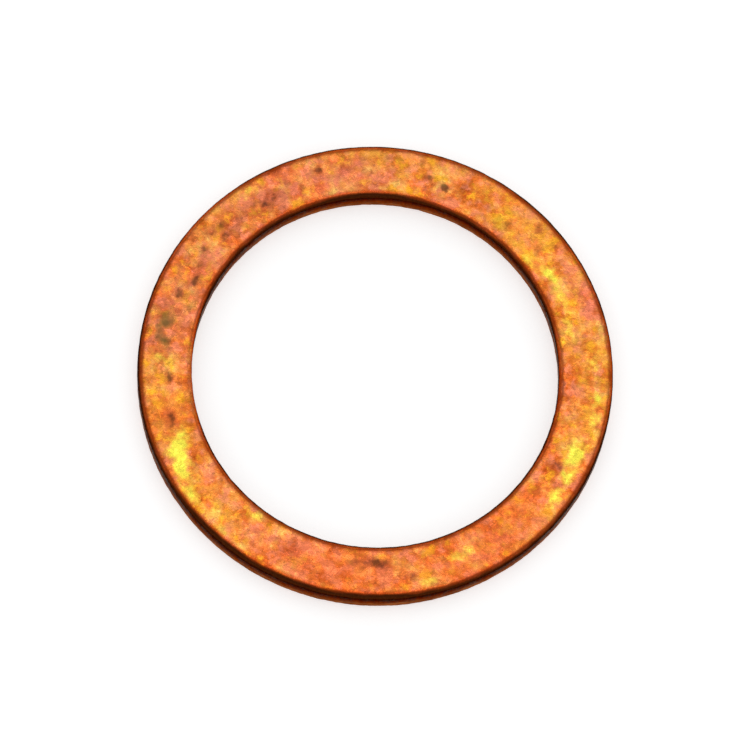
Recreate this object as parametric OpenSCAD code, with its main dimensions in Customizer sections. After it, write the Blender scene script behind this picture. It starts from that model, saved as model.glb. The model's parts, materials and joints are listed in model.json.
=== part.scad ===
// Flat sealing ring of soft annealed copper, crushed under a threaded plug or a hollow bolt.
// It is blanked and pierced from strip in one stroke, so both upper edges are rolled over,
// and both lower edges have the small round that tumbling leaves.
// It lies on its lower face. The origin is the middle of that face, and +Z runs up the bore.

/* [Ring] */
// Thread diameter of the plug or bolt that the ring seals
bolt_d = 18; // [16:0.5:20]
// Gap all round between the thread and the bore
bolt_clearance = 0.15; // [0.05:0.05:0.4]
// Outer diameter
outer_d = 23.8; // [22:0.1:30]
// Thickness before the ring is crushed
thickness = 1.5; // [1:0.1:2.5]

/* [Edges] */
// Radius rolled over on the upper outer edge
outer_roll_r = 0.3; // [0.05:0.05:0.5]
// Radius rolled over on the upper edge of the bore
bore_roll_r = 0.3; // [0.05:0.05:0.5]
// Radius left by tumbling on the lower outer edge
outer_deburr_r = 0.15; // [0.05:0.05:0.5]
// Radius left by tumbling on the lower edge of the bore
bore_deburr_r = 0.15; // [0.05:0.05:0.5]

/* [Hidden] */

copper = [0.86, 0.50, 0.26];
turn_facets = 180;
edge_facets = 48;

bore_r = bolt_d / 2 + bolt_clearance;
outer_r = outer_d / 2;
face_w = outer_r - bore_r;

// An edge's radius takes at most this share of the thinner of the two walls that it joins
edge_share = 1 / 3;
edge_limit = edge_share * min(face_w, thickness);

outer_roll = min(outer_roll_r, edge_limit);
bore_roll = min(bore_roll_r, edge_limit);
outer_deburr = min(outer_deburr_r, edge_limit);
bore_deburr = min(bore_deburr_r, edge_limit);

// What a round edge removes from a square corner at the origin, with the metal towards +X and +Y
module edge_waste(radius) {
    difference() {
        square(radius);
        translate([radius, radius]) circle(radius, $fn = edge_facets);
    }
}

// Half section of the ring, with the axis along Y and the lower face on X
module ring_section() {
    difference() {
        translate([bore_r, 0]) square([face_w, thickness]);
        translate([bore_r, 0]) edge_waste(bore_deburr);
        translate([outer_r, 0]) mirror([1, 0]) edge_waste(outer_deburr);
        translate([bore_r, thickness]) mirror([0, 1]) edge_waste(bore_roll);
        translate([outer_r, thickness]) rotate(180) edge_waste(outer_roll);
    }
}

module washer() {
    color(copper) rotate_extrude($fn = turn_facets) ring_section();
}

washer();
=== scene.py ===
import json
import math

import bpy
import numpy as np
from mathutils import Matrix, Vector


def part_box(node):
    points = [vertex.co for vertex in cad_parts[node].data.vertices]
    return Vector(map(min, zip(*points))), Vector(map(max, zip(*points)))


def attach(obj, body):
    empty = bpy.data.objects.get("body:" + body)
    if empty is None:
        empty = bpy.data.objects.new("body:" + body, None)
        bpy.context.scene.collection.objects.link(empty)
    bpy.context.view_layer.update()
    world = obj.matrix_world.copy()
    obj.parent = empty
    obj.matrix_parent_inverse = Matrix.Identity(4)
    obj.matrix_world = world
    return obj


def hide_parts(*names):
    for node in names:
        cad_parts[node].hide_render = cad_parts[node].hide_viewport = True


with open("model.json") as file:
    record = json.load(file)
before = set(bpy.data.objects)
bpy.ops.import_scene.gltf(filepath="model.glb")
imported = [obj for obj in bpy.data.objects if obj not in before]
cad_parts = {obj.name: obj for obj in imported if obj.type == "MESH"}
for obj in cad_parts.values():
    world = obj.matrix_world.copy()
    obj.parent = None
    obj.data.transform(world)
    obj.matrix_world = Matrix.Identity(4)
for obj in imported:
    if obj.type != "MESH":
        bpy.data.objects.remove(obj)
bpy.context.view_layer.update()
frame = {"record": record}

# The ring
# One flat ring of soft copper, blanked and pierced from strip in a single stroke and then annealed.
# The tools roll its upper edges over and tear the lower part of each wall, and tumbling rounds the
# lower edges. Nothing is fixed to it: it lies loose on its lower face.
mm = 0.001
ring_low, ring_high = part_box("washer")
bore_mount = next(mount for mount in frame["record"]["mounts"] if mount["name"] == "bore")
outer_radius = ring_high.x
bore_radius = bore_mount["dims"]["r_mm"] * mm
thickness = ring_high.z - ring_low.z

# The sizes of the ring and its marks, in metres. The tear height and the wall reach are in millimetres,
# as the places of the marks are. The wall reach is how far in from a wall the wall's own finish goes.
# The steps and the mesh spacing keep the ring under 200,000 triangles.
ring_inputs = {
    "Outer radius": ("NodeSocketFloat", outer_radius),
    "Bore radius": ("NodeSocketFloat", bore_radius),
    "Thickness": ("NodeSocketFloat", thickness),
    "Rolled edge radius": ("NodeSocketFloat", 0.30 * mm),
    "Deburred edge radius": ("NodeSocketFloat", 0.15 * mm),
    "Steps in an edge": ("NodeSocketInt", 8),
    "Steps in a turn": ("NodeSocketInt", 880),
    "Mesh spacing": ("NodeSocketFloat", 0.086 * mm),
    "Ding depth": ("NodeSocketFloat", 0.022 * mm),
    "Peel depth": ("NodeSocketFloat", 0.012 * mm),
    "Waviness": ("NodeSocketFloat", 0.020 * mm),
    "Tear depth": ("NodeSocketFloat", 0.045 * mm),
    "Tear height": ("NodeSocketFloat", 0.55),
    "Wall reach": ("NodeSocketFloat", 0.10),
    "Seed": ("NodeSocketFloat", 7.0),
}


def node(tree, kind, **settings):
    """A new node, with its own settings given by name."""
    made = tree.nodes.new(kind)
    for name, value in settings.items():
        setattr(made, name, value)
    return made


def feed(tree, socket, value):
    """Links an output to a socket, or writes a plain value on it."""
    if isinstance(value, bpy.types.NodeSocket):
        tree.links.new(value, socket)
    else:
        socket.default_value = value


def calc(tree, operation, *values):
    """Math on numbers and outputs."""
    made = node(tree, "ShaderNodeMath", operation=operation)
    for socket, value in zip(made.inputs, values):
        feed(tree, socket, value)
    return made.outputs["Value"]


def vector_calc(tree, operation, *values, scale=None, result="Vector"):
    """Vector math on places, colours and outputs."""
    made = node(tree, "ShaderNodeVectorMath", operation=operation)
    for socket, value in zip(made.inputs, values):
        feed(tree, socket, value)
    if scale is not None:
        feed(tree, made.inputs["Scale"], scale)
    return made.outputs[result]


def ease(tree, value, start, end, at_start=0.0, at_end=1.0):
    """A smooth step from at_start to at_end while the value runs from start to end."""
    made = node(tree, "ShaderNodeMapRange", interpolation_type="SMOOTHSTEP")
    for socket, setting in zip(made.inputs, (value, start, end, at_start, at_end)):
        feed(tree, socket, setting)
    return made.outputs["Result"]


def mottle(tree, place, size, seed, detail=2.0, roughness=0.5, result="Fac"):
    """Cloudy noise whose blots are about this size, in the units of the place."""
    made = node(tree, "ShaderNodeTexNoise", noise_dimensions="4D")
    feed(tree, made.inputs["Vector"], place)
    feed(tree, made.inputs["W"], seed)
    made.inputs["Scale"].default_value = 1.0 / size
    made.inputs["Detail"].default_value = detail
    made.inputs["Roughness"].default_value = roughness
    return made.outputs[result]


def cells(tree, place, size, result):
    """Cells about this size, in the units of the place, as crystals and dings lie."""
    made = node(tree, "ShaderNodeTexVoronoi")
    feed(tree, made.inputs["Vector"], place)
    made.inputs["Scale"].default_value = 1.0 / size
    return made.outputs[result]


def reach(tree, place):
    """Height above the lower face, and how far in from the nearer of the two walls, in millimetres."""
    split = node(tree, "ShaderNodeSeparateXYZ")
    feed(tree, split.inputs["Vector"], place)
    flat = vector_calc(tree, "MULTIPLY", place, (1.0, 1.0, 0.0))
    radius = vector_calc(tree, "LENGTH", flat, result="Value")
    from_outside = calc(tree, "SUBTRACT", outer_radius / mm, radius)
    from_bore = calc(tree, "SUBTRACT", radius, bore_radius / mm)
    return split.outputs["Z"], calc(tree, "MINIMUM", from_outside, from_bore)


def ring_section(tree, given):
    """The section of the ring, with its corners rounded and its sides cut into even steps."""
    face_width = calc(tree, "SUBTRACT", given["Outer radius"], given["Bore radius"])
    section = node(tree, "GeometryNodeCurvePrimitiveQuadrilateral")
    feed(tree, section.inputs["Width"], face_width)
    feed(tree, section.inputs["Height"], given["Thickness"])

    # The corners run round from the lower two to the upper two
    corner = node(tree, "GeometryNodeIndexSwitch", data_type="FLOAT")
    corner.index_switch_items.new()
    corner.index_switch_items.new()
    feed(tree, corner.inputs["Index"], node(tree, "GeometryNodeInputIndex").outputs["Index"])
    for number, edge in enumerate(("Deburred", "Deburred", "Rolled", "Rolled")):
        feed(tree, corner.inputs[str(number)], given[f"{edge} edge radius"])
    rounded = node(tree, "GeometryNodeFilletCurve", mode="POLY")
    feed(tree, rounded.inputs["Curve"], section.outputs["Curve"])
    feed(tree, rounded.inputs["Count"], given["Steps in an edge"])
    feed(tree, rounded.inputs["Radius"], corner.outputs["Output"])

    # A side gets as many cuts as the mesh spacing goes into its length
    following = node(tree, "GeometryNodeOffsetPointInCurve")
    feed(tree, following.inputs["Point Index"], node(tree, "GeometryNodeInputIndex").outputs["Index"])
    feed(tree, following.inputs["Offset"], 1)
    here = node(tree, "GeometryNodeInputPosition").outputs["Position"]
    beyond = node(tree, "GeometryNodeFieldAtIndex", data_type="FLOAT_VECTOR", domain="POINT")
    feed(tree, beyond.inputs["Value"], here)
    feed(tree, beyond.inputs["Index"], following.outputs["Point Index"])
    side_length = vector_calc(tree, "DISTANCE", here, beyond.outputs["Value"], result="Value")
    cuts = calc(tree, "FLOOR", calc(tree, "DIVIDE", side_length, given["Mesh spacing"]))
    stepped = node(tree, "GeometryNodeSubdivideCurve")
    feed(tree, stepped.inputs["Curve"], rounded.outputs["Curve"])
    feed(tree, stepped.inputs["Cuts"], cuts)
    return stepped.outputs["Curve"]


def one_turn(tree, given, section):
    """The section swept once round the bore, and lifted to lie on its lower face."""
    turn = node(tree, "GeometryNodeCurvePrimitiveCircle", mode="RADIUS")
    feed(tree, turn.inputs["Resolution"], given["Steps in a turn"])
    both_radii = calc(tree, "ADD", given["Outer radius"], given["Bore radius"])
    feed(tree, turn.inputs["Radius"], calc(tree, "MULTIPLY", both_radii, 0.5))
    swept = node(tree, "GeometryNodeCurveToMesh")
    feed(tree, swept.inputs["Curve"], turn.outputs["Curve"])
    feed(tree, swept.inputs["Profile Curve"], section)
    lift = node(tree, "ShaderNodeCombineXYZ")
    feed(tree, lift.inputs["Z"], calc(tree, "MULTIPLY", given["Thickness"], 0.5))
    lifted = node(tree, "GeometryNodeTransform")
    feed(tree, lifted.inputs["Geometry"], swept.outputs["Mesh"])
    feed(tree, lifted.inputs["Translation"], lift.outputs["Vector"])
    return lifted.outputs["Geometry"]


def tool_marks(tree, given, plain_ring):
    """Works the marks of blanking and handling inwards. Their sizes and reaches are in millimetres."""
    here = node(tree, "GeometryNodeInputPosition").outputs["Position"]
    place = vector_calc(tree, "SCALE", here, scale=1 / mm)
    height, inset = reach(tree, place)
    seed = given["Seed"]
    on_wall = ease(tree, inset, start=0.015, end=0.10, at_start=1.0, at_end=0.0)
    near_edge = ease(tree, inset, start=0.10, end=0.42, at_start=1.0, at_end=0.0)

    # The lower part of each wall is torn, up to a ragged line
    rag_height = 0.9
    rag = calc(tree, "SUBTRACT", mottle(tree, place, size=0.55, seed=seed, detail=4.0), 0.5)
    tear_line = calc(tree, "MULTIPLY_ADD", rag, rag_height, given["Tear height"])
    under_line = calc(tree, "SUBTRACT", tear_line, height)
    torn = calc(tree, "MULTIPLY", ease(tree, under_line, start=0.0, end=0.12), on_wall)
    tear_grain = mottle(tree, place, size=0.22, seed=seed, detail=3.0)
    tear = calc(tree, "MULTIPLY", torn, calc(tree, "MULTIPLY", given["Tear depth"], tear_grain))

    # Tumbling leaves a round ding here and there
    ding_spacing = 1.15
    ding_reach = calc(tree, "MULTIPLY", cells(tree, place, ding_spacing, "Distance"), ding_spacing)
    ding_draw = node(tree, "ShaderNodeSeparateXYZ")
    feed(tree, ding_draw.inputs["Vector"], cells(tree, place, ding_spacing, "Color"))
    ding_chosen = ease(tree, ding_draw.outputs["X"], start=0.55, end=1.0)
    ding_round = ease(tree, ding_reach, start=0.05, end=0.42, at_start=1.0, at_end=0.0)
    dinged = calc(tree, "MULTIPLY", ding_chosen, ding_round)
    ding = calc(tree, "MULTIPLY", dinged, given["Ding depth"])

    # A faint peel lies all over, and a slow wave that is strongest near the edges
    peel_cloud = mottle(tree, place, size=0.42, seed=seed)
    peel = ease(tree, peel_cloud, start=0.35, end=0.65, at_start=0.0, at_end=given["Peel depth"])
    wave_on_face = 0.2
    wave = calc(tree, "MULTIPLY", mottle(tree, place, size=2.6, seed=seed), given["Waviness"])
    wave_share = calc(tree, "MULTIPLY_ADD", near_edge, 1.0 - wave_on_face, wave_on_face)
    depth = calc(tree, "ADD", calc(tree, "ADD", tear, ding), peel)
    depth = calc(tree, "MULTIPLY_ADD", wave, wave_share, depth)
    outwards = node(tree, "GeometryNodeInputNormal").outputs["Normal"]
    inwards = vector_calc(tree, "SCALE", outwards, scale=calc(tree, "MULTIPLY", depth, -1.0))

    # The points remember what their finish depends on, from before they move
    walled = calc(tree, "LESS_THAN", inset, given["Wall reach"])
    worked = plain_ring
    for name, share in (("torn", torn), ("dinged", dinged), ("walled", walled)):
        kept = node(tree, "GeometryNodeStoreNamedAttribute", data_type="FLOAT", domain="POINT")
        feed(tree, kept.inputs["Geometry"], worked)
        feed(tree, kept.inputs["Name"], name)
        feed(tree, kept.inputs["Value"], share)
        worked = kept.outputs["Geometry"]
    marked = node(tree, "GeometryNodeSetPosition")
    feed(tree, marked.inputs["Geometry"], worked)
    feed(tree, marked.inputs["Offset"], inwards)
    return marked.outputs["Geometry"]


def blanked_ring():
    """The whole ring: its section swept round the bore, marked, and given its two finishes."""
    tree = bpy.data.node_groups.new("blanked_ring", "GeometryNodeTree")
    for name, (kind, _) in ring_inputs.items():
        tree.interface.new_socket(name, in_out="INPUT", socket_type=kind)
    for name in ("Face finish", "Wall finish"):
        tree.interface.new_socket(name, in_out="INPUT", socket_type="NodeSocketMaterial")
    tree.interface.new_socket("Ring", in_out="OUTPUT", socket_type="NodeSocketGeometry")
    given = node(tree, "NodeGroupInput").outputs
    plain_ring = one_turn(tree, given, ring_section(tree, given))
    smooth = node(tree, "GeometryNodeSetShadeSmooth")
    feed(tree, smooth.inputs["Geometry"], tool_marks(tree, given, plain_ring))
    whole = node(tree, "GeometryNodeRealizeInstances")
    feed(tree, whole.inputs["Geometry"], smooth.outputs["Geometry"])
    faced = node(tree, "GeometryNodeSetMaterial")
    feed(tree, faced.inputs["Geometry"], whole.outputs["Geometry"])
    feed(tree, faced.inputs["Material"], given["Face finish"])
    walled = node(tree, "GeometryNodeInputNamedAttribute", data_type="FLOAT")
    feed(tree, walled.inputs["Name"], "walled")
    on_wall = calc(tree, "GREATER_THAN", walled.outputs["Attribute"], 0.5)
    finished = node(tree, "GeometryNodeSetMaterial")
    feed(tree, finished.inputs["Geometry"], faced.outputs["Geometry"])
    feed(tree, finished.inputs["Selection"], on_wall)
    feed(tree, finished.inputs["Material"], given["Wall finish"])
    feed(tree, node(tree, "NodeGroupOutput").inputs["Ring"], finished.outputs["Geometry"])
    return tree


def shade(*screen):
    """A screen colour, from 0 to 255, in the light values that the shader takes."""
    parts = [part / 255 for part in screen]
    light = [part / 12.92 if part <= 0.04045 else ((part + 0.055) / 1.055) ** 2.4 for part in parts]
    return (*light, 1.0)


def tint(tree, amount, under, over):
    """Lays one colour over another."""
    made = node(tree, "ShaderNodeMix", data_type="RGBA")
    sockets = {socket.identifier: socket for socket in (*made.inputs, *made.outputs)}
    feed(tree, sockets["Factor_Float"], amount)
    feed(tree, sockets["A_Color"], under)
    feed(tree, sockets["B_Color"], over)
    return sockets["Result_Color"]


def stain(tree, name):
    """How strong a mark is here, as the mesh keeps it."""
    return node(tree, "ShaderNodeAttribute", attribute_name=name).outputs["Fac"]


def broken(tree, amount, grain, raggedness=1.6):
    """Breaks a soft mark up with grain, so that it has a ragged outline and gaps within it."""
    loose = calc(tree, "MULTIPLY_ADD", calc(tree, "SUBTRACT", grain, 0.5), raggedness, amount)
    inside = ease(tree, amount, start=0.0, end=0.25)
    return ease(tree, calc(tree, "MULTIPLY", loose, inside), start=0.15, end=0.95)


def annealed_copper(name, edge_on_tint):
    """Satin copper, mottled by the anneal, with brown stains, painted golden highlights, and blanked edges
    darkened by painted shade.

    The edge-on tint is what is left of the shine where the surface is seen at a flat angle.
    """
    finish = bpy.data.materials.new(name)
    finish.use_nodes = True
    tree = finish.node_tree
    skin = tree.nodes["Principled BSDF"]
    object_place = node(tree, "ShaderNodeTexCoord").outputs["Object"]
    place = vector_calc(tree, "SCALE", object_place, scale=1 / mm)
    height, inset = reach(tree, place)
    torn = stain(tree, "torn")

    # The open face: blots of the anneal, from dark to pale, drifting to salmon and to gold
    blot_tones = (
        (0.31, shade(186, 74, 26)), (0.40, shade(214, 100, 40)), (0.47, shade(228, 118, 54)),
        (0.53, shade(236, 138, 66)), (0.60, shade(242, 160, 82)), (0.69, shade(246, 194, 98)),
    )
    blots = mottle(tree, place, size=0.95, seed=3.0, detail=4.0, roughness=0.62)
    tones = node(tree, "ShaderNodeValToRGB")
    feed(tree, tones.inputs["Fac"], blots)
    darkest, *between, palest = blot_tones
    stops = tones.color_ramp.elements
    for stop, (position, colour) in zip(stops, (darkest, palest)):
        stop.position = position
        stop.color = colour
    for position, colour in between:
        stops.new(position).color = colour
    drift = mottle(tree, place, size=0.65, seed=11.0, detail=4.0, roughness=0.55)
    to_salmon = ease(tree, drift, start=0.49, end=0.62, at_end=0.80)
    face = tint(tree, to_salmon, tones.outputs["Color"], shade(236, 132, 96))
    to_gold = ease(tree, drift, start=0.47, end=0.34, at_end=0.80)
    face = tint(tree, to_gold, face, shade(244, 166, 36))

    # Crystals of two sizes, each with its own tilt and a painted glint that sets its brightness, and a fine
    # grain over them that paints small glints too
    middle = (0.5, 0.5, 0.5)
    crystal_waver = (0.35, 0.35, 0.35)
    waver_cloud = mottle(tree, place, size=0.30, seed=41.0, result="Color")
    waver = vector_calc(tree, "SUBTRACT", waver_cloud, middle)
    crystal_place = vector_calc(tree, "MULTIPLY_ADD", waver, crystal_waver, place)
    lean = node(tree, "ShaderNodeNewGeometry").outputs["Normal"]
    for crystal_size, crystal_lean, crystal_glint in ((0.55, 0.09, 0.28), (0.17, 0.12, 0.20)):
        drawn = cells(tree, crystal_place, crystal_size, "Color")
        apart = vector_calc(tree, "SUBTRACT", drawn, middle)
        lean = vector_calc(tree, "MULTIPLY_ADD", apart, (crystal_lean,) * 3, lean)
        draw = node(tree, "ShaderNodeSeparateXYZ")
        feed(tree, draw.inputs["Vector"], apart)
        glint = calc(tree, "MULTIPLY_ADD", draw.outputs["X"], crystal_glint, 1.0)
        face = vector_calc(tree, "SCALE", face, scale=glint)
    lean = vector_calc(tree, "NORMALIZE", lean)
    fine = mottle(tree, place, size=0.10, seed=31.0, detail=3.0)
    fine_glint = ease(tree, fine, start=0.25, end=0.75, at_start=0.91, at_end=1.08)
    face = vector_calc(tree, "SCALE", face, scale=fine_glint)

    # Broad areas that are paler, duller, pinker or redder, all but the red ones patchy. The pale amber
    # areas are painted light, a broad haze like the one round the golden highlights.
    speckle = mottle(tree, place, size=0.40, seed=19.0, detail=4.0)
    clouds = mottle(tree, place, size=0.65, seed=23.0, detail=3.0)
    amber_light_patches = ease(tree, speckle, start=0.35, end=0.65, at_start=0.10, at_end=0.60)
    dull_patches = ease(tree, clouds, start=0.38, end=0.62, at_start=0.05, at_end=0.75)
    salmon_patches = ease(tree, speckle, start=0.35, end=0.65, at_start=0.70, at_end=0.20)
    for area, patches, tone in (
        ("amber_light_haze", amber_light_patches, shade(245, 184, 62)),
        ("dull", dull_patches, shade(178, 98, 62)),
        ("salmon", salmon_patches, shade(228, 120, 98)),
        ("ruddy", 0.8, shade(218, 100, 44)),
    ):
        face = tint(tree, calc(tree, "MULTIPLY", stain(tree, area), patches), face, tone)

    # The golden painted highlights, the dings, the brown specks and the olive stain, each with its greatest
    # density
    golden_highlight = broken(tree, stain(tree, "golden_highlight"), speckle)
    brown = broken(tree, stain(tree, "brown"), speckle)
    olive = broken(tree, stain(tree, "olive"), speckle, raggedness=1.3)
    highlight_middle = ease(tree, golden_highlight, start=0.55, end=1.0)
    highlight_tone = tint(tree, highlight_middle, shade(248, 208, 74), shade(242, 230, 78))
    speck_middle = ease(tree, brown, start=0.35, end=0.9)
    speck_tone = tint(tree, speck_middle, shade(176, 72, 36), shade(94, 38, 20))
    for mark, density, tone in (
        (golden_highlight, 0.95, highlight_tone),
        (stain(tree, "dinged"), 0.30, shade(176, 82, 42)),
        (brown, 0.85, speck_tone),
        (olive, 0.85, shade(104, 84, 40)),
    ):
        face = tint(tree, calc(tree, "MULTIPLY", mark, density), face, tone)

    # The rolled edges go red, then brown, in a band that wavers: painted shade, the dark that the edges
    # reflect. Painted light narrows the band where a rim caught the light, and more painted shade widens it
    # where a rim lay in shade. The walls below are painted darkest at the top, a painted reflection of dark
    # surroundings, with upright drag lines from the punch and die, and paler where the copper tore, partly
    # a torn finish and partly painted light from the floor.
    drag_stretch = (1.0, 1.0, 0.06)
    band_waver = 0.12
    rim_light_narrowing = 0.20
    rim_shade_widening = 0.09
    red_shade_density = 0.9
    drag = mottle(tree, vector_calc(tree, "MULTIPLY", place, drag_stretch), size=0.09, seed=37.0)
    # Painted light where a rim caught the light, and painted shade where it lay in shade, move the band.
    rim_light = calc(tree, "MULTIPLY", stain(tree, "rim_light"), ease(tree, height, start=1.15, end=1.38))
    shifted = calc(tree, "MULTIPLY_ADD", calc(tree, "SUBTRACT", clouds, 0.5), band_waver, inset)
    shifted = calc(tree, "MULTIPLY_ADD", rim_light, rim_light_narrowing, shifted)
    shifted = calc(tree, "MULTIPLY_ADD", stain(tree, "rim_shade"), -rim_shade_widening, shifted)
    red_rim_shade = ease(tree, shifted, start=0.17, end=0.42, at_start=1.0, at_end=0.0)
    brown_rim_shade = ease(tree, shifted, start=0.05, end=0.22, at_start=1.0, at_end=0.0)
    # Painted shade: the walls are darkest at the top and paler lower down, as a reflection; the torn zone
    # is paler still, partly painted floor light.
    down_wall = ease(tree, height, start=1.30, end=0.45)
    wall_shade_tone = tint(tree, down_wall, shade(64, 28, 9), shade(150, 74, 36))
    drag_shine = ease(tree, drag, start=0.30, end=0.75, at_start=0.88, at_end=1.22)
    wall_shade_tone = vector_calc(tree, "SCALE", wall_shade_tone, scale=drag_shine)
    torn_patches = ease(tree, clouds, start=0.3, end=0.7)
    torn_and_lit_tone = tint(tree, torn_patches, shade(138, 74, 40), shade(176, 104, 64))
    colour = tint(tree, calc(tree, "MULTIPLY", red_rim_shade, red_shade_density), face, shade(168, 60, 16))
    colour = tint(tree, brown_rim_shade, colour, wall_shade_tone)
    colour = tint(tree, torn, colour, torn_and_lit_tone)
    feed(tree, skin.inputs["Base Color"], colour)
    skin.inputs["Specular Tint"].default_value = edge_on_tint

    # Satin where it is bare, duller in the brown band of painted shade, where torn or stained, and less
    # metal under a stain
    stain_cover = 0.4
    stained = calc(tree, "MAXIMUM", brown, olive)
    dullness = ease(tree, fine, start=0.25, end=0.75, at_start=0.16, at_end=0.30)
    for area, added in ((brown_rim_shade, 0.10), (torn, 0.18), (stained, 0.16)):
        dullness = calc(tree, "MULTIPLY_ADD", area, added, dullness)
    feed(tree, skin.inputs["Roughness"], dullness)
    feed(tree, skin.inputs["Metallic"], calc(tree, "MULTIPLY_ADD", stained, -stain_cover, 1.0))

    # Fine grain all over, and the drag lines on the walls
    drag_depth = 0.8
    grain_depth = 0.012 * mm
    dragged = ease(tree, inset, start=0.02, end=0.15, at_start=1.0, at_end=0.0)
    drag_lines = calc(tree, "MULTIPLY", drag, dragged)
    bump = node(tree, "ShaderNodeBump")
    bump.inputs["Strength"].default_value = 1.0
    bump.inputs["Distance"].default_value = grain_depth
    feed(tree, bump.inputs["Height"], calc(tree, "MULTIPLY_ADD", drag_lines, drag_depth, fine))
    feed(tree, bump.inputs["Normal"], lean)
    feed(tree, skin.inputs["Normal"], bump.outputs["Normal"])
    return finish


# The open face keeps most of its shine at a flat angle. The scuffed walls lose it and go dark there.
face_copper = annealed_copper("annealed_copper", edge_on_tint=(0.85, 0.70, 0.50, 1.0))
wall_copper = annealed_copper("blanked_copper", edge_on_tint=(0.31, 0.33, 0.30, 1.0))
ring = bpy.data.objects.new("copper_ring", bpy.data.meshes.new("copper_ring_blank"))
bpy.context.scene.collection.objects.link(ring)
blanking = ring.modifiers.new("blanking", "NODES")
blanking.node_group = blanked_ring()
socket_of = {item.name: item.identifier for item in blanking.node_group.interface.items_tree}
for name, (_, value) in ring_inputs.items():
    blanking[socket_of[name]] = value
blanking[socket_of["Face finish"]] = face_copper
blanking[socket_of["Wall finish"]] = wall_copper
blanked = ring.evaluated_get(bpy.context.evaluated_depsgraph_get())
ring_mesh = bpy.data.meshes.new_from_object(blanked)
ring_mesh.name = "copper_ring"
ring.modifiers.remove(blanking)
ring.data = ring_mesh
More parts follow.
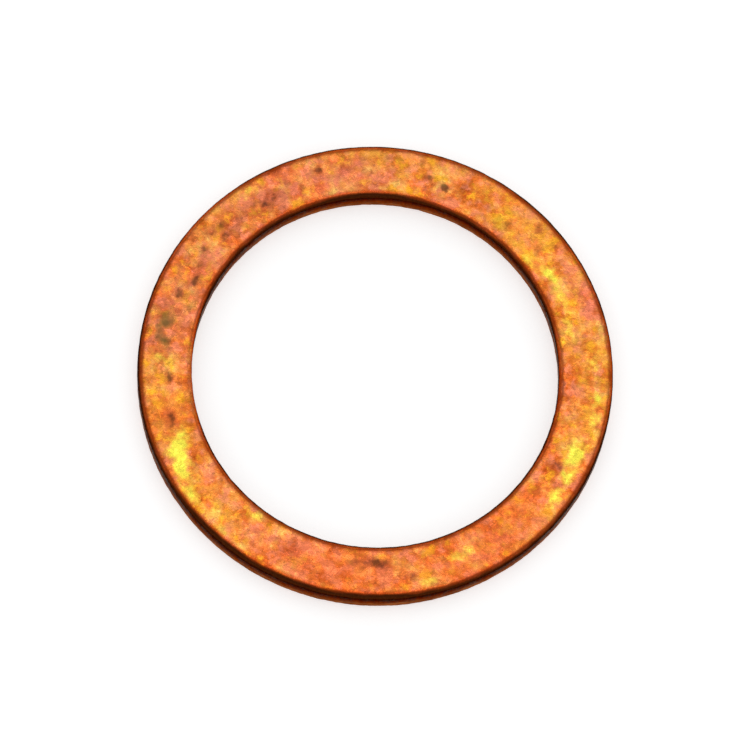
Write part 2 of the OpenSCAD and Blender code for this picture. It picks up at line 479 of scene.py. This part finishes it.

# Where the upper face and its rims are marked or carry painted highlights, light and shade: degrees round
# from +X, radius, half length along the ring and half width across it in millimetres, and strength.
stains = {
    # The golden marks are painted highlights.
    "golden_highlight": (
        (204.0, 10.75, 1.30, 0.75, 1.0), (208.5, 11.05, 1.00, 0.55, 1.0), (215.5, 11.30, 1.00, 0.42, 0.8),
        (200.5, 10.35, 0.95, 0.50, 0.7), (324.0, 11.05, 0.95, 0.48, 0.8), (330.0, 11.05, 0.95, 0.55, 0.8),
        (336.5, 10.85, 1.15, 0.66, 1.0), (347.5, 11.20, 0.80, 0.40, 0.6), (353.0, 11.15, 0.80, 0.40, 0.6),
        (294.0, 10.45, 0.90, 0.52, 0.7), (30.0, 10.10, 1.20, 0.55, 0.75), (24.0, 10.00, 1.10, 0.55, 0.6),
        (14.0, 10.00, 1.20, 0.48, 0.6), (35.5, 9.65, 0.90, 0.32, 0.7), (227.0, 11.35, 0.70, 0.34, 0.6),
        (231.5, 9.75, 1.00, 0.36, 0.6), (52.0, 10.05, 0.70, 0.45, 0.5), (124.5, 11.25, 0.80, 0.40, 0.5),
        (283.0, 11.35, 0.80, 0.36, 0.5), (144.0, 11.05, 0.80, 0.40, 0.4), (177.0, 10.50, 0.60, 0.80, 0.5),
        (1.5, 11.05, 1.30, 0.60, 0.6),
    ),
    "brown": (
        (70.0, 10.28, 0.40, 0.36, 1.0), (75.0, 10.50, 0.42, 0.32, 0.75), (72.5, 10.35, 0.50, 0.24, 0.5),
        (49.0, 10.30, 0.60, 0.50, 0.55), (42.0, 11.15, 0.60, 0.40, 0.55), (35.0, 11.16, 0.55, 0.42, 0.6),
        (152.5, 10.15, 0.62, 0.38, 0.9), (158.4, 10.54, 0.60, 0.45, 0.7), (139.5, 10.80, 0.60, 0.50, 0.55),
        (130.0, 10.45, 0.70, 0.50, 0.55), (98.0, 10.70, 0.70, 0.45, 0.6), (110.0, 10.20, 0.65, 0.45, 0.55),
        (182.6, 10.27, 0.55, 0.40, 0.75), (194.3, 10.56, 0.70, 0.50, 0.85), (269.5, 10.04, 0.85, 0.40, 1.0),
        (279.5, 10.85, 0.50, 0.38, 0.6), (331.0, 10.10, 0.70, 0.55, 0.65), (265.8, 10.03, 0.65, 0.45, 0.75),
        (272.6, 10.02, 0.55, 0.40, 0.7), (38.0, 10.39, 0.55, 0.42, 0.6), (104.5, 10.85, 0.50, 0.38, 0.55),
        (119.0, 10.45, 0.65, 0.42, 0.65), (122.0, 10.25, 0.50, 0.36, 0.6), (125.0, 10.55, 0.50, 0.36, 0.55),
        (134.5, 10.75, 0.55, 0.42, 0.65), (136.8, 10.30, 0.55, 0.42, 0.6), (143.5, 10.60, 0.50, 0.36, 0.6),
        (148.0, 10.35, 0.50, 0.36, 0.6), (155.2, 10.35, 0.50, 0.36, 0.6), (163.3, 10.34, 0.50, 0.38, 0.6),
    ),
    "olive": (
        (166.6, 10.76, 0.70, 0.50, 1.0), (168.8, 10.94, 0.60, 0.36, 0.8), (170.6, 10.90, 0.55, 0.34, 0.65),
        (171.9, 10.66, 0.45, 0.50, 0.75), (165.0, 10.50, 0.45, 0.40, 0.65),
    ),
    # The amber areas are painted light, a broad haze round the highlights.
    "amber_light_haze": (
        (46.0, 10.40, 4.20, 1.70, 0.9), (18.0, 9.95, 4.00, 0.90, 0.9), (196.0, 10.50, 3.40, 1.60, 1.0),
        (222.0, 10.60, 3.40, 1.50, 0.7), (345.0, 10.90, 3.00, 1.20, 0.8), (84.0, 11.10, 4.00, 0.90, 0.7),
        (1.0, 10.95, 2.40, 1.00, 1.0), (315.0, 11.45, 2.20, 0.50, 0.9), (135.0, 11.50, 3.50, 0.45, 0.7),
        (90.0, 11.40, 3.00, 0.50, 0.9),
    ),
    "dull": (
        (135.0, 10.50, 8.50, 2.20, 0.6), (165.0, 10.50, 3.50, 2.00, 0.8), (97.0, 10.60, 4.00, 1.40, 0.35),
        (44.0, 10.90, 1.60, 0.70, 0.5), (269.7, 10.05, 1.70, 0.80, 0.95),
    ),
    "ruddy": (
        (262.0, 10.50, 6.00, 2.20, 0.65), (300.0, 10.50, 6.00, 2.00, 0.65), (315.0, 10.10, 2.20, 0.90, 0.8),
        (194.3, 10.56, 1.30, 0.95, 1.0),
    ),
    "salmon": (
        (21.0, 11.20, 1.60, 0.55, 1.0), (100.0, 10.40, 2.40, 1.20, 0.7), (115.0, 10.60, 2.00, 1.00, 0.7),
        (235.5, 10.60, 0.90, 0.70, 0.8), (247.0, 10.40, 1.00, 0.80, 0.8), (299.0, 10.90, 0.70, 0.60, 0.9),
        (305.5, 10.60, 0.80, 0.60, 0.8), (89.0, 10.30, 1.20, 0.80, 0.4), (147.0, 10.20, 1.30, 0.80, 0.7),
        (160.0, 10.50, 1.80, 1.10, 0.6),
    ),
    # Painted light on the rims that caught the light.
    "rim_light": (
        (1.0, 11.90, 4.60, 0.90, 0.45), (180.0, 9.15, 4.00, 0.80, 1.0), (0.0, 9.15, 3.00, 0.80, 0.5),
        (135.0, 11.90, 4.00, 0.70, 0.4),
    ),
    # Painted shade on the rims that lay in shade.
    "rim_shade": (
        (90.0, 9.30, 3.20, 0.80, 1.0), (228.0, 11.80, 4.00, 0.80, 1.0), (248.0, 11.80, 4.00, 0.80, 1.0),
        (268.0, 11.80, 4.00, 0.80, 1.0), (45.0, 11.80, 4.00, 0.70, 0.5),
    ),
}


def smooth_step(share):
    """Rises smoothly from 0 to 1 as the share does."""
    share = np.clip(share, 0.0, 1.0)
    return share * share * (3.0 - 2.0 * share)


# The mesh keeps the strength of each kind of mark at its points, the painted highlights, light and shade
# among them. A mark fades out a little past its half length and width, and all of them fade in up the
# walls, so that the lower face has none.
mark_spread = 1.3
marks_start_height = 0.75
marks_fade_height = 0.45
points = np.empty(3 * len(ring_mesh.vertices))
ring_mesh.vertices.foreach_get("co", points)
along_x, along_y, above = points.reshape(-1, 3).T / mm
upper_side = smooth_step((above - marks_start_height) / marks_fade_height)
for name, spots in stains.items():
    strongest = np.zeros(len(ring_mesh.vertices))
    for degrees, radius, half_length, half_width, strength in spots:
        around = math.radians(degrees)
        along = (along_y * math.cos(around) - along_x * math.sin(around)) / half_length
        across = (along_x * math.cos(around) + along_y * math.sin(around) - radius) / half_width
        nearness = smooth_step(1 - np.hypot(along, across) / mark_spread)
        strongest = np.maximum(strongest, strength * nearness)
    kept = ring_mesh.attributes.new(name, "FLOAT", "POINT")
    kept.data.foreach_set("value", strongest * upper_side)

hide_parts("washer")
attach(ring, "root")

# The floor
# A plain pale sheet of paper that the ring lies on, wide enough to fill the view from any side.
# It reads as white to the eye and in the metal, and keeps the ring's soft shadow. It lies a hair
# below the ring, so that no two faces share one plane.
floor_radius = 1.7
floor_sides = 96
floor_drop = 0.02 * mm
floor_colour = (0.72, 0.72, 0.72, 1.0)
floor_roughness = 0.9
floor_lift = 0.50
floor_corners = []
for side in range(floor_sides):
    around = 2 * math.pi * side / floor_sides
    corner_x = floor_radius * math.cos(around)
    corner_y = floor_radius * math.sin(around)
    floor_corners.append((corner_x, corner_y, ring_low.z - floor_drop))
floor_mesh = bpy.data.meshes.new("floor")
floor_mesh.from_pydata(floor_corners, [], [tuple(range(floor_sides))])
floor = bpy.data.objects.new("floor", floor_mesh)
bpy.context.scene.collection.objects.link(floor)
paper = bpy.data.materials.new("pale_paper")
paper.use_nodes = True
paper_tree = paper.node_tree
paper_skin = paper_tree.nodes["Principled BSDF"]
paper_skin.inputs["Base Color"].default_value = floor_colour
paper_skin.inputs["Roughness"].default_value = floor_roughness
paper_skin.inputs["Specular IOR Level"].default_value = 0.0
ray = node(paper_tree, "ShaderNodeLightPath").outputs
seen = calc(paper_tree, "ADD", ray["Is Camera Ray"], ray["Is Glossy Ray"])
seen = calc(paper_tree, "ADD", seen, ray["Is Transmission Ray"])
seen = calc(paper_tree, "MINIMUM", seen, 1.0)
glow = node(paper_tree, "ShaderNodeEmission")
feed(paper_tree, glow.inputs["Strength"], calc(paper_tree, "MULTIPLY", seen, floor_lift))
both = node(paper_tree, "ShaderNodeAddShader")
feed(paper_tree, both.inputs[0], paper_skin.outputs["BSDF"])
feed(paper_tree, both.inputs[1], glow.outputs["Emission"])
feed(paper_tree, paper_tree.nodes["Material Output"].inputs["Surface"], both.outputs["Shader"])
floor_mesh.materials.append(paper)

# The light and the camera
# A softbox with a brighter core hangs over the ring, and eight soft panels stand round the table, so
# that the metal finds light on every side. The camera looks down from the front with a long lens.
room_grey = 0.62
room = bpy.data.worlds.new("studio_room")
room.use_nodes = True
room_light = room.node_tree.nodes["Background"]
room_light.inputs["Color"].default_value = (room_grey, room_grey, room_grey, 1.0)
room_light.inputs["Strength"].default_value = 1.0
bpy.context.scene.world = room


def soft_panel(name, side, place, aim, brightness):
    """A square panel light that looks this bright from where it is aimed."""
    panel = bpy.data.lights.new(name, "AREA")
    panel.shape = "SQUARE"
    panel.size = side
    panel.energy = brightness * math.pi * side * side
    hung = bpy.data.objects.new(name, panel)
    hung.location = place
    hung.rotation_euler = (Vector(aim) - Vector(place)).to_track_quat("-Z", "Y").to_euler()
    bpy.context.scene.collection.objects.link(hung)


ring_middle = Vector((0.0, 0.0, ring_low.z + thickness / 2))
soft_panel("overhead_softbox", side=0.34, place=(0.02, 0.03, 0.42), aim=ring_middle, brightness=0.50)
soft_panel("bright_core", side=0.09, place=(0.01, 0.01, 0.40), aim=ring_middle, brightness=1.6)
panel_count = 8
panel_distance = 0.62
panel_height = 0.23
for number in range(panel_count):
    around = math.radians(360 / panel_count * number)
    stand = (panel_distance * math.cos(around), panel_distance * math.sin(around), panel_height)
    soft_panel(f"side_panel_{number}", side=0.28, place=stand, aim=ring_middle, brightness=0.75)

camera_tilt = math.radians(18.1)
camera_swing = math.radians(8.4)
lens = 600.0
sensor_width = 36.0
view_width = 37.468 * mm
camera_distance = view_width * lens / sensor_width
camera_data = bpy.data.cameras.new("camera")
camera_data.lens = lens
camera_data.sensor_width = sensor_width
camera_data.clip_start = 0.01
camera_data.clip_end = 10.0
camera = bpy.data.objects.new("camera", camera_data)
tilted = Matrix.Rotation(-camera_swing, 4, "Z") @ Matrix.Rotation(camera_tilt, 4, "X")
tilted = tilted @ Matrix.Rotation(camera_swing, 4, "Z")
backed_off = Matrix.Translation((0.0, 0.0, camera_distance))
camera.matrix_world = Matrix.Translation(ring_middle) @ tilted @ backed_off
bpy.context.scene.collection.objects.link(camera)
bpy.context.scene.camera = camera
bpy.context.scene.view_settings.view_transform = "Standard"
